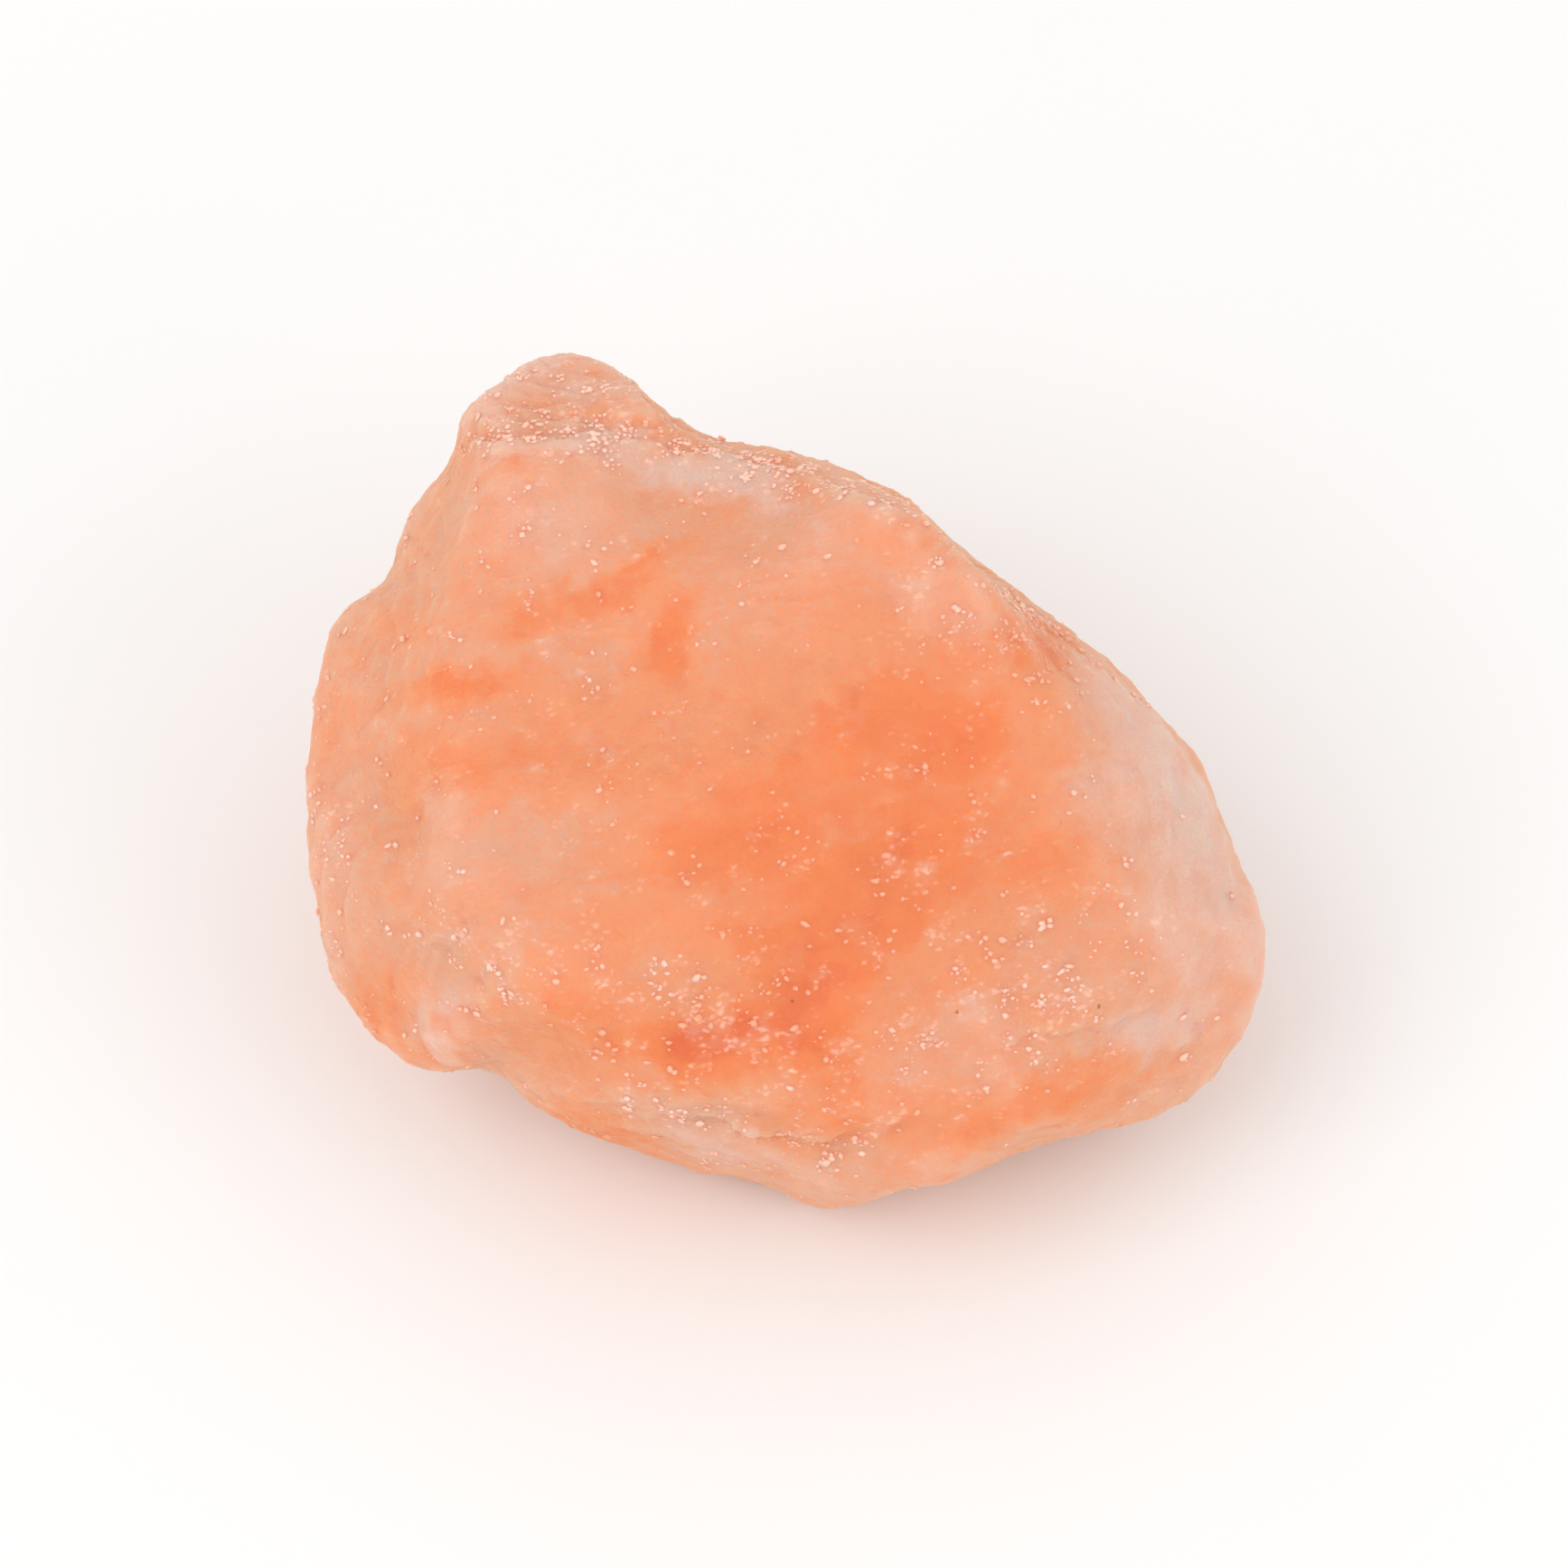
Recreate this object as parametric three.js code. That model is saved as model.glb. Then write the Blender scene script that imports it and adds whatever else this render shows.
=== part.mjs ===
// A rough lump of pink rock salt (halite), broken from its bed and worn soft at the edges.
//
// Millimetres, +Z up. The lump stands on one flat cleavage face in the plane z = 0, and the
// origin is the middle of its bounding box, seen from above, in that plane.
//
// Its broad show face looks up and towards -Y. Forms are given in the show face's own frame,
// measured from the lump's middle: x to the right, y up the face and z straight out of it.

import * as THREE from "three";
import { mergeVertices } from "three/addons/utils/BufferGeometryUtils.js";
import { ImprovedNoise } from "three/addons/math/ImprovedNoise.js";

const showFaceElevation = 55; // degrees above level that the show face looks
const restDrop = 15; // from the lump's middle down to the face it stands on
const gridCells = 26; // cells along each side of the starting cube
const edgeCrispness = 28; // higher leaves a sharper edge between two faces
const rimAllowance = 1.006; // makes up for what the rounded edges take off the outline
const rimBulge = 0.42; // how much the flanks fall away in front of the outline and behind it
const cliffBulge = 0.08; // the same in front of the outline, on the steep flank at the upper right
const cliffMiddle = 48; // degrees, where that steep flank is, from the right
const rimCalm = 0.8; // how far the lumps die away on the outline
const baseSpare = 0.35; // salt cleaved off the underside to leave it flat
const ledgeWander = 2.2;
const ledgeWidth = 1.7;

// Broad lumps and a rougher skin over them: how many to a millimetre, and how high they stand.
const lumpLayers = [
  { density: 0.085, height: 0.9 },
  { density: 0.21, height: 0.42 },
  { density: 0.43, height: 0.2 },
];

// The outline, looking straight at the show face, clockwise from the top of the nub.
const outline = [
  [-11.3, 21.9], [-8.7, 21.0], [-6.3, 18.9], [-3.6, 17.5], [-1.6, 17.1], [2.7, 15.9],
  [6.6, 14.0], [8.5, 12.2], [14.3, 7.8], [18.4, 4.2], [21.3, 0.1], [22.9, -4.0],
  [24.2, -6.4], [24.5, -10.3], [23.4, -13.9], [21.5, -16.1], [16.5, -17.6], [10.7, -19.0],
  [6.4, -21.9], [2.8, -22.4], [-0.6, -20.8], [-6.0, -19.2], [-9.5, -18.2], [-12.5, -16.3],
  [-15.3, -14.4], [-17.2, -14.7], [-20.9, -13.6], [-23.2, -10.1], [-24.1, -5.9], [-24.4, -1.5],
  [-24.6, 3.0], [-23.5, 7.0], [-22.3, 9.0], [-20.6, 10.0], [-18.9, 13.6], [-16.9, 16.6],
  [-16.8, 18.9], [-15.3, 20.3],
];

// Broken and cleaved faces: which way each looks, and how far it is from the middle. A ledge
// steps the face down by its drop, past a place measured along the direction it faces.
const brokenFaces = {
  showUpper: { looks: [-0.15, 0.14, 1], distance: 13.3 },
  showLower: { looks: [0.1, -0.14, 1], distance: 13.5 },
  topBand: {
    looks: [-0.03, 0.72, 0.7],
    distance: 19.3,
    ledges: [{ faces: [0, 0.7, -0.72], past: 4.6, drop: 0.7 }],
  },
  rightShoulder: { looks: [0.7, 0.22, 0.68], distance: 18.6 },
  lowerRight: { looks: [0.5, -0.46, 0.74], distance: 20.4 },
  lowerFront: {
    looks: [-0.06, -0.46, 0.88],
    distance: 16.5,
    ledges: [{ faces: [0.05, -1, -0.2], past: 15.2, drop: 0.8 }],
  },
  bottomBand: { looks: [-0.04, -0.91, 0.4], distance: 21.3 },
  leftUpper: { looks: [-0.68, 0.26, 0.68], distance: 20.3 },
  leftLower: { looks: [-0.6, -0.36, 0.72], distance: 20.2 },
  backTop: {
    looks: [0.08, 0.66, -0.75],
    distance: 18.2,
    ledges: [
      { faces: [1, 0.1, 0.2], past: 1.5, drop: 1.3 },
      { faces: [0.1, -0.75, -0.65], past: 3.5, drop: 0.9 },
    ],
  },
  backTopRight: { looks: [0.66, 0.6, -0.45], distance: 18.6 },
  backRight: {
    looks: [0.86, -0.2, -0.48],
    distance: 23.4,
    ledges: [{ faces: [0.2, -0.7, -0.68], past: 3.2, drop: 1.1 }],
  },
  backTopLeft: { looks: [-0.56, 0.74, -0.38], distance: 23.2 },
  backLeft: {
    looks: [-0.86, 0.04, -0.5],
    distance: 20.2,
    ledges: [{ faces: [0.1, -0.6, -0.8], past: 2.4, drop: 1.2 }],
  },
  leftUnder: { looks: [-0.6, -0.7, -0.4], distance: 21 },
  frontUnder: { looks: [0.24, -0.94, -0.24], distance: 22.2 },
};

// Shell-shaped chips: which way each lies from the middle, its hollow's radius and its depth.
const chips = {
  underRidge: { toward: [-0.12, 0.62, 0.6], radius: 13, depth: 0.7 },
  leftOfNub: { toward: [-0.82, 0.58, 0.28], radius: 8, depth: 0.8 },
  leftFlank: { toward: [-0.84, -0.02, 0.5], radius: 12, depth: 0.4 },
  besideLobe: { toward: [-0.5, -0.62, 0.4], radius: 6.5, depth: 1.0 },
  shoulderEdge: { toward: [0.72, 0.34, 0.42], radius: 11, depth: 0.3 },
  backHollow: { toward: [0.1, 0.42, -0.9], radius: 11, depth: 1.3 },
  backRightHollow: { toward: [0.74, 0.1, -0.66], radius: 8, depth: 1.1 },
  backLeftHollow: { toward: [-0.8, 0.38, -0.46], radius: 9, depth: 1.2 },
  leftUnderHollow: { toward: [-0.74, -0.5, -0.2], radius: 8, depth: 1.0 },
  frontUnderHollow: { toward: [0.3, -0.9, 0.02], radius: 8, depth: 0.9 },
};

const leanBack = THREE.MathUtils.degToRad(90 - showFaceElevation);
const acrossAxis = new THREE.Vector3(1, 0, 0);
const baseNormal = new THREE.Vector3(0, 0, -1).applyAxisAngle(acrossAxis, -leanBack);
const perlin = new ImprovedNoise();

// The outline's radius at every whole degree, from a smooth closed curve through its points.
function outlineRadii() {
  const points = outline.map(([x, y]) => new THREE.Vector3(x, y, 0));
  const curve = new THREE.CatmullRomCurve3(points, true, "centripetal");
  const nearest = new Array(360).fill({ miss: Infinity, radius: 0 });
  for (const point of curve.getPoints(3600)) {
    const angle = THREE.MathUtils.radToDeg(Math.atan2(point.y, point.x)) + 360;
    const miss = Math.abs(angle - Math.round(angle));
    const degree = Math.round(angle) % 360;
    if (miss < nearest[degree].miss) nearest[degree] = { miss, radius: point.length() };
  }
  return nearest.map((entry) => entry.radius * rimAllowance);
}

const rimRadii = outlineRadii();

function rimRadius(x, y) {
  const degree = THREE.MathUtils.radToDeg(Math.atan2(y, x)) + 360;
  const below = Math.floor(degree);
  return THREE.MathUtils.lerp(rimRadii[below % 360], rimRadii[(below + 1) % 360], degree - below);
}

function noiseAt(point, density) {
  return perlin.noise(point.x * density + 7.3, point.y * density + 2.9, point.z * density + 5.1);
}

const faces = Object.values(brokenFaces).map(({ looks, distance, ledges = [] }) => ({
  normal: new THREE.Vector3(...looks).normalize(),
  distance,
  ledges: ledges.map((ledge) => ({ ...ledge, faces: new THREE.Vector3(...ledge.faces).normalize() })),
}));

// How far out a face is along a direction, with its ledges, or nothing where it looks away.
function reachOfFace(face, direction) {
  const facing = face.normal.dot(direction);
  if (facing <= 0.05) return Infinity;
  const flat = direction.clone().multiplyScalar(face.distance / facing);
  let distance = face.distance;
  for (const ledge of face.ledges) {
    const beyond = flat.dot(ledge.faces) + ledgeWander * noiseAt(flat, 0.16) - ledge.past;
    distance -= ledge.drop * THREE.MathUtils.smoothstep(beyond, -ledgeWidth / 2, ledgeWidth / 2);
  }
  return distance / facing;
}

// The surface is the smooth inside of every reach: the sharper the blend, the crisper the edges.
function innermost(reaches) {
  const sum = reaches.reduce((total, reach) => total + Math.pow(reach, -edgeCrispness), 0);
  return Math.pow(sum, -1 / edgeCrispness);
}

function reachOfRim(direction) {
  const acrossView = Math.hypot(direction.x, direction.y);
  const fromCliff = Math.atan2(direction.y, direction.x) - THREE.MathUtils.degToRad(cliffMiddle);
  const onCliff = direction.z > 0 ? Math.max(0, Math.cos(fromCliff)) ** 4 : 0;
  const bulge = THREE.MathUtils.lerp(rimBulge, cliffBulge, onCliff);
  const flank = 1 - bulge * direction.z * direction.z;
  return (flank * rimRadius(direction.x, direction.y)) / Math.max(acrossView, 1e-3);
}

function reachOfBase(direction) {
  const down = direction.dot(baseNormal);
  return down > 0.05 ? (restDrop + baseSpare) / down : Infinity;
}

function facetedRadius(direction) {
  const reaches = faces.map((face) => reachOfFace(face, direction));
  return innermost([reachOfRim(direction), reachOfBase(direction), ...reaches]);
}

const hollows = Object.values(chips).map(({ toward, radius, depth }) => {
  const direction = new THREE.Vector3(...toward).normalize();
  const centre = direction.clone().multiplyScalar(facetedRadius(direction) + radius - depth);
  return { centre, radius };
});

function reachOfHollow({ centre, radius }, direction) {
  const along = centre.dot(direction);
  const inside = along * along - centre.lengthSq() + radius * radius;
  return along > 0 && inside > 0 ? along - Math.sqrt(inside) : Infinity;
}

// A point of the surface in the standing frame, still measured from the lump's middle.
function surfacePoint(standingDirection) {
  const direction = standingDirection.clone().applyAxisAngle(acrossAxis, -leanBack);
  const reaches = hollows.map((hollow) => reachOfHollow(hollow, direction));
  const radius = innermost([facetedRadius(direction), ...reaches]);
  const facePoint = direction.clone().multiplyScalar(radius);
  const nearOutline = 1 - THREE.MathUtils.smoothstep(Math.abs(direction.z), 0.08, 0.34);
  const onRim = nearOutline * Math.pow(radius / reachOfRim(direction), edgeCrispness);
  const onBase = Math.pow(radius / reachOfBase(direction), edgeCrispness);
  const calm = Math.min(1, rimCalm * onRim + onBase);
  const relief = lumpLayers.reduce(
    (total, { density, height }) => total + height * noiseAt(facePoint, density),
    0,
  );
  const point = standingDirection.clone().multiplyScalar(radius + relief * (1 - calm));
  if (point.z < -restDrop) {
    point.multiplyScalar(-restDrop / point.z);
    point.z = -restDrop;
  }
  return point;
}

// Splits each four-sided cell along the diagonal that folds it least, so that ridges run clean.
function splitAlongRidges(geometry) {
  const position = geometry.getAttribute("position");
  const index = geometry.getIndex();
  const normalOf = (...corners) => {
    const [a, b, c] = corners.map((i) => new THREE.Vector3().fromBufferAttribute(position, i));
    return new THREE.Triangle(a, b, c).getNormal(new THREE.Vector3());
  };
  for (let cell = 0; cell < index.count; cell += 6) {
    const [a, b, d, , c] = index.array.slice(cell, cell + 6);
    const alongBd = normalOf(a, b, d).dot(normalOf(b, c, d));
    const alongAc = normalOf(a, b, c).dot(normalOf(a, c, d));
    if (alongAc > alongBd) index.array.set([a, b, c, a, c, d], cell);
  }
}

function saltLump() {
  const cube = new THREE.BoxGeometry(2, 2, 2, gridCells, gridCells, gridCells);
  cube.deleteAttribute("normal");
  cube.deleteAttribute("uv");
  const geometry = mergeVertices(cube);
  const position = geometry.getAttribute("position");
  const evenOut = (value) => Math.tan((value * Math.PI) / 4);
  for (let i = 0; i < position.count; i++) {
    const direction = new THREE.Vector3().fromBufferAttribute(position, i);
    direction.set(evenOut(direction.x), evenOut(direction.y), evenOut(direction.z)).normalize();
    position.setXYZ(i, ...surfacePoint(direction));
  }
  splitAlongRidges(geometry);
  geometry.computeVertexNormals();
  geometry.computeBoundingBox();
  const { min, max } = geometry.boundingBox;
  const pinkSalt = new THREE.MeshStandardMaterial({ color: 0xf2a27c, roughness: 0.5, metalness: 0 });
  const mesh = new THREE.Mesh(geometry, pinkSalt);
  mesh.name = "salt_lump";
  mesh.position.set(-(min.x + max.x) / 2, -(min.y + max.y) / 2, restDrop);
  return mesh;
}

const part = new THREE.Group();
part.add(saltLump());

export default part;
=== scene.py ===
# A rough lump of pink rock salt, lit softly on a pale table. Lengths are metres unless a note says mm.
import math

import bmesh
import bpy
import numpy as np
from mathutils import Matrix, Vector, kdtree, noise
from mathutils.bvhtree import BVHTree


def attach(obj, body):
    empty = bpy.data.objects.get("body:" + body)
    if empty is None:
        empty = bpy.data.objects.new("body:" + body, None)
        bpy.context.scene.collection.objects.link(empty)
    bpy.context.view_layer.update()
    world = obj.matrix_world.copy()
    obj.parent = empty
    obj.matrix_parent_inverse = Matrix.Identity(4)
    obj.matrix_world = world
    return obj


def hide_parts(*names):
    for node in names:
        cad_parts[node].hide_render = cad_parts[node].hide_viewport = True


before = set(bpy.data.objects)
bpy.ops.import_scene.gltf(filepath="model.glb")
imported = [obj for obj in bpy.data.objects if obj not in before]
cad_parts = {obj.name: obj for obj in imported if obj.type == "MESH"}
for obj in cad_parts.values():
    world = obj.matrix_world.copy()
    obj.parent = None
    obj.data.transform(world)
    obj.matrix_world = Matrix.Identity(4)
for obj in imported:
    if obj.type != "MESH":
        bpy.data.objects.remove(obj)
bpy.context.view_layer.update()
mm = 0.001

# The broad show face leans back, and every mark on the lump is placed in that face's own frame:
# x to the right, y up the face, z straight out of it, in mm from the lump's middle.
view = {
    "elevation": 55,  # degrees; the camera looks straight at the show face
    "distance": 0.45,
    "pictureWidth": 0.080,  # what the picture takes in, at the lump
    "middle": (-0.13, 0.03, 15.0),  # mm
    "sensor": 36.0,  # mm
    "nearest": 0.01,  # nothing closer to the camera is drawn
}
lean = math.radians(90 - view["elevation"])
middle = Vector(view["middle"])
toFace = Matrix.Rotation(-lean, 3, "X")
faceStart = (1, 4)  # mm, the z over which what belongs to the show face alone sets in
farAway = 1e3  # mm, more than any distance on the lump


def faceFrame(places):
    # row frame in metres, as an array of points, to the show face's frame in mm
    return (np.asarray(places) / mm - np.array(middle)) @ np.array(toFace).T


def smooth(low, high, value):
    share = np.clip((value - low) / (high - low), 0, 1)
    return share * share * (3 - 2 * share)


def clamped(value):
    return max(0.0, min(1.0, value))


# Camera, light and table
stage = {
    "keySize": 0.55, "keyPower": 1.5, "keyFrom": (-0.42, -0.30, 0.62),
    "fillSize": 0.60, "fillPower": 0.8, "fillFrom": (0.55, -0.35, 0.40),
    "skyColour": (1.0, 0.993, 0.985), "skyStrength": 0.90,
    "tableWidth": 6.0, "tableGreys": (0.90, 0.918), "tableRoughness": 0.8,
    "tableMottle": (30.0, 4.0),  # how many to a metre, and detail
}


def placeCamera():
    lens = bpy.data.cameras.new("camera")
    lens.sensor_width = view["sensor"]
    lens.lens = view["sensor"] * view["distance"] / view["pictureWidth"]
    lens.clip_start = view["nearest"]
    camera = bpy.data.objects.new("camera", lens)
    bpy.context.scene.collection.objects.link(camera)
    camera.location = middle * mm + toFace.inverted() @ Vector((0, 0, view["distance"]))
    camera.rotation_euler = (lean, 0, 0)
    bpy.context.scene.camera = camera


def placeLight(name, size, power, start):
    softBox = bpy.data.lights.new(name, "AREA")
    softBox.size = size
    softBox.energy = power
    lamp = bpy.data.objects.new(name, softBox)
    bpy.context.scene.collection.objects.link(lamp)
    lamp.location = start
    aim = middle * mm - Vector(start)
    lamp.rotation_euler = aim.to_track_quat("-Z", "Y").to_euler()


def placeSky():
    world = bpy.data.worlds.new("sky")
    world.use_nodes = True
    background = world.node_tree.nodes["Background"]
    background.inputs["Color"].default_value = (*stage["skyColour"], 1)
    background.inputs["Strength"].default_value = stage["skyStrength"]
    bpy.context.scene.world = world


placeCamera()
placeLight("key", stage["keySize"], stage["keyPower"], stage["keyFrom"])
placeLight("fill", stage["fillSize"], stage["fillPower"], stage["fillFrom"])
placeSky()
bpy.context.scene.view_settings.view_transform = "Standard"
print("camera and light are in place")


# Materials
class Wire:
    # one socket of a material, so that shader maths reads as sums
    def __init__(self, tree, socket):
        self.tree = tree
        self.socket = socket

    def node(self, kind, settings, inputs, output=0):
        made = self.tree.nodes.new(kind)
        for name, value in settings.items():
            setattr(made, name, value)
        for name, value in inputs.items():
            if isinstance(value, Wire):
                self.tree.links.new(value.socket, made.inputs[name])
            else:
                made.inputs[name].default_value = value
        return Wire(self.tree, made.outputs[output]) if made.outputs else None

    def beside(self, output):
        # another output of the same node
        return Wire(self.tree, self.socket.node.outputs[output])

    def maths(self, operation, *values):
        return self.node("ShaderNodeMath", {"operation": operation}, dict(enumerate(values)))

    def __add__(self, other):
        return self.maths("ADD", self, other)

    def __radd__(self, other):
        return self.maths("ADD", other, self)

    def __sub__(self, other):
        return self.maths("SUBTRACT", self, other)

    def __rsub__(self, other):
        return self.maths("SUBTRACT", other, self)

    def __mul__(self, other):
        return self.maths("MULTIPLY", self, other)

    def __rmul__(self, other):
        return self.maths("MULTIPLY", other, self)


def colour(red, green, blue):
    # a colour as a screen shows it, 0 to 255, in the light values a shader takes
    parts = [part / 255 for part in (red, green, blue)]
    return (*[p / 12.92 if p < 0.04045 else ((p + 0.055) / 1.055) ** 2.4 for p in parts], 1)


def newMaterial(name):
    material = bpy.data.materials.new(name)
    material.use_nodes = True
    material.node_tree.nodes.clear()
    return material, Wire(material.node_tree, None)


def finish(start, shader):
    start.node("ShaderNodeOutputMaterial", {}, {"Surface": shader})


def objectPlace(start):
    return start.node("ShaderNodeTexCoord", {}, {}, "Object")


def facePlace(start):
    # the show face's frame in mm, from the row frame in metres
    turned = toFace @ middle
    return start.node("ShaderNodeMapping", {}, {
        "Vector": objectPlace(start),
        "Location": tuple(-turned),
        "Rotation": (-lean, 0, 0),
        "Scale": (1 / mm, 1 / mm, 1 / mm),
    })


def stretch(place, slant, density):
    # turned first, so that the density squeezes the pattern along its own slant
    turned = place.node("ShaderNodeMapping", {}, {"Vector": place, "Rotation": (0, 0, -math.radians(slant))})
    return turned.node("ShaderNodeVectorMath", {"operation": "MULTIPLY"}, {0: turned, 1: density})


def grainy(place, density, detail, roughness=0.55):
    return place.node("ShaderNodeTexNoise", {}, {
        "Vector": place, "Scale": density, "Detail": detail, "Roughness": roughness,
    })


def drawnOut(place, slant, density, detail, roughness):
    return grainy(stretch(place, slant, density), 1.0, detail, roughness)


def stir(pattern, strength):
    # a pattern from 0 to 1, turned into a push to either side
    return (pattern - 0.5) * strength


def cells(place, density):
    # how far the nearest of many scattered points is, and a number of that point's own
    distance = place.node("ShaderNodeTexVoronoi", {}, {"Vector": place, "Scale": density}, "Distance")
    return distance, distance.beside("Color")


def ramp(value, span):
    # 0 at the first end of the span, 1 at the second
    return value.node("ShaderNodeMapRange", {"interpolation_type": "SMOOTHSTEP"}, {
        "Value": value, "From Min": span[0], "From Max": span[1],
    })


def blend(share, first, second):
    return share.node("ShaderNodeMix", {"data_type": "RGBA"}, {0: share, 6: first, 7: second}, 2)


def attribute(start, name):
    return start.node("ShaderNodeAttribute", {"attribute_name": name}, {}, "Fac")


salt = {
    "pale": colour(226, 169, 138),
    "peach": colour(234, 153, 107),
    "orange": colour(235, 135, 76),
    "ember": colour(229, 114, 60),
    "frost": colour(228, 184, 165),
    "veil": colour(223, 189, 173),
    "white": colour(254, 205, 182),
    "rust": colour(150, 70, 50),
    # where a colour sets in and where it is full, in the strength of the mesh's red, thin and white marks
    "peachSpan": (-0.05, 0.45),
    "orangeSpan": (0.40, 1.0),
    "emberSpan": (1.0, 1.7),
    "thinSpan": (0.3, 0.95),
    "frostSpan": (0.0, 1.0),
    "veilSpan": (0.8, 1.3),
    # how far thin edges are painted pale: painted light shining through little salt, not a colour the salt
    # has
    "paintedThinGlow": 0.4,
    "frostStrength": 0.9,
    # slanted patterns: degrees, how many to a mm along, across and into the show face, detail and roughness
    "fine": (10, (0.7, 1.5, 1.1), 4.0, 0.65),
    "smears": (12, (0.55, 1.0, 0.8), 4.0, 0.6),
    # even patterns: how many to a mm, detail and roughness
    "grit": (3.4, 2.0, 0.6),
    "knobs": (1.9, 3.0, 0.62),
    # what the patterns do
    "fineStir": 0.35,
    "gritStir": 0.5,
    "smearSpan": (0.54, 0.74),
    "smearWhiteness": 0.3,
    "gritShade": (0.935, 0.13),  # the darkest, and how much lighter the grit makes it
    "knobHeight": 0.5,
    "gritHeight": 0.6,
    "bumpStrength": 0.6,
    "bumpHeight": 0.3,  # mm
    "roughness": 0.52,
    "smearRoughness": 0.4,
    "fleckGloss": 0.12,
    "ior": 1.544,
    "scatterDepth": (3.6, 1.5, 0.9),  # mm, how far red, green and blue light wander inside
}

# White dust on the skin. It gathers in the smears and in the crowded places, as a haze and as flecks of two
# sizes. A few rust-dark flecks lie anywhere.
dust = {
    "fray": (2.2, 2.0, 0.5),  # how many to a mm, detail and roughness
    "frayReach": 0.5,  # mm, how far a fleck's outline frays
    "slant": 8,  # degrees
    "squeeze": (0.8, 1.25, 1.1),
    "smearPull": 1.5,
    "crowdPull": 0.5,
    "luckPull": 0.5,  # how much each fleck's own luck adds to the gathering
    # flecks: how many to a mm, a fleck from its edge to its middle, and the gathering from the first to all
    "bigFlecks": (1.4, (0.36, 0.10), (1.35, 1.65)),
    "smallFlecks": (2.4, (0.44, 0.12), (1.18, 1.75)),
    "fleckStrength": 0.55,
    "hazeSpan": (1.1, 1.7),
    "hazeStrength": 0.3,
    "rustDensity": 0.2,  # to a mm
    "rustSpan": (0.032, 0.016),
    "rustLuck": (0.52, 0.56),
    "rustStrength": 0.7,
}

# Clouds of iron red inside the salt: place on the show face, half length and half width in mm, slant in
# degrees, and how strong
clouds = {
    "greatCloud": ((4.4, -1.4), (14.0, 9.6), 45, 0.62),
    "greatTop": ((6.6, 3.0), (5.6, 3.6), 10, 0.34),
    "greatHeart": ((6.2, -5.4), (6.4, 3.4), 20, 0.55),
    "greatMiddle": ((2.2, -3.6), (4.2, 2.6), 30, 0.30),
    "lowerHeart": ((1.2, -10.0), (5.6, 3.0), 38, 0.78),
    "deepSpot": ((-4.3, -13.2), (3.2, 2.4), 20, 0.74),
    "lowerBand": ((-7.5, -12.6), (7.6, 2.9), -4, 0.60),
    "lowerTongue": ((2.2, -13.8), (3.6, 2.2), -55, 0.48),
    "bottomBand": ((3.0, -16.8), (7.5, 2.0), 4, 0.42),
    "middleBand": ((-8.5, 1.6), (10.0, 3.6), 8, 0.48),
    "middleArm": ((-3.5, -2.3), (7.6, 2.6), 12, 0.42),
    "belly": ((-9.0, -8.5), (6.5, 4.2), 10, 0.20),
    "upperStreak": ((-7.4, 10.6), (3.8, 1.3), 26, 0.54),
    "upperStreakLow": ((-11.6, 8.8), (4.0, 1.3), 22, 0.52),
    "upperBlob": ((-5.8, 7.3), (2.8, 2.1), 60, 0.92),
    "leftStreak": ((-15.8, 4.9), (5.0, 1.2), 14, 0.57),
    "leftBand": ((-17.6, 0.4), (5.0, 2.2), 0, 0.28),
    "topRight": ((4.5, 12.6), (4.6, 2.0), -28, 0.16),
    "edgeSpot": ((13.0, 7.2), (2.3, 1.9), -40, 1.05),
    "rightArm": ((13.0, -4.8), (4.4, 2.0), 10, 0.30),
    "lowerRightHaze": ((10.5, -11.0), (6.5, 3.6), 15, 0.20),
    "lowerRightBand": ((13.0, -15.8), (9.4, 1.9), 18, 0.42),
    "lobeSpot": ((-20.2, -11.4), (2.6, 1.8), 75, 0.60),
    "lowerStrip": ((-8.6, -17.9), (4.6, 1.4), -26, 0.65),
    "nubTint": ((-8.6, 18.4), (4.4, 1.0), -8, 0.40),
    "nubCorner": ((-13.5, 16.0), (2.2, 1.5), 20, 0.30),
}

# Where the salt is clouded white or worn to a frost
frostings = {
    "rightShoulder": ((19.2, 0.8), (9.6, 5.6), -60, 1.0),
    "rightEdge": ((21.8, -8.4), (8.4, 5.4), 95, 0.62),
    "underRidge": ((-4.0, 15.6), (5.2, 1.8), -12, 1.25),
    "ridgeLine": ((-11.0, 16.8), (6.2, 1.1), 3, 0.60),
    "nubTop": ((-12.0, 20.4), (5.4, 3.0), -8, 0.60),
    "upperLeft": ((-12.5, 13.0), (6.0, 3.2), -14, 0.46),
    "upperMiddle": ((1.6, 11.4), (6.0, 3.0), -20, 0.34),
    "behindRidge": ((8.4, 8.8), (4.6, 2.6), -38, 0.40),
    "rightMiddle": ((15.4, -1.8), (4.6, 2.4), 80, 0.16),
    "lowerLeft": ((-18.0, -4.6), (5.4, 4.4), 60, 0.18),
    "lobe": ((-16.8, -11.6), (3.2, 3.2), 80, 0.34),
    "lowerRight": ((7.6, -13.6), (5.2, 3.0), 15, 0.42),
    "lowerRightHigh": ((13.0, -10.0), (5.6, 3.2), 20, 0.26),
    "patch": ((18.2, -12.2), (3.4, 1.7), 10, 0.66),
    "bottomFace": ((-2.6, -18.4), (6.0, 1.9), -16, 0.76),
    "bottomRight": ((4.6, -20.2), (6.0, 1.6), 14, 0.25),
    "leftRim": ((-22.6, -4.0), (7.4, 1.8), 88, 0.34),
    "lobeSmear": ((-17.2, -11.2), (1.6, 0.9), 60, 0.60),
}

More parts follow.
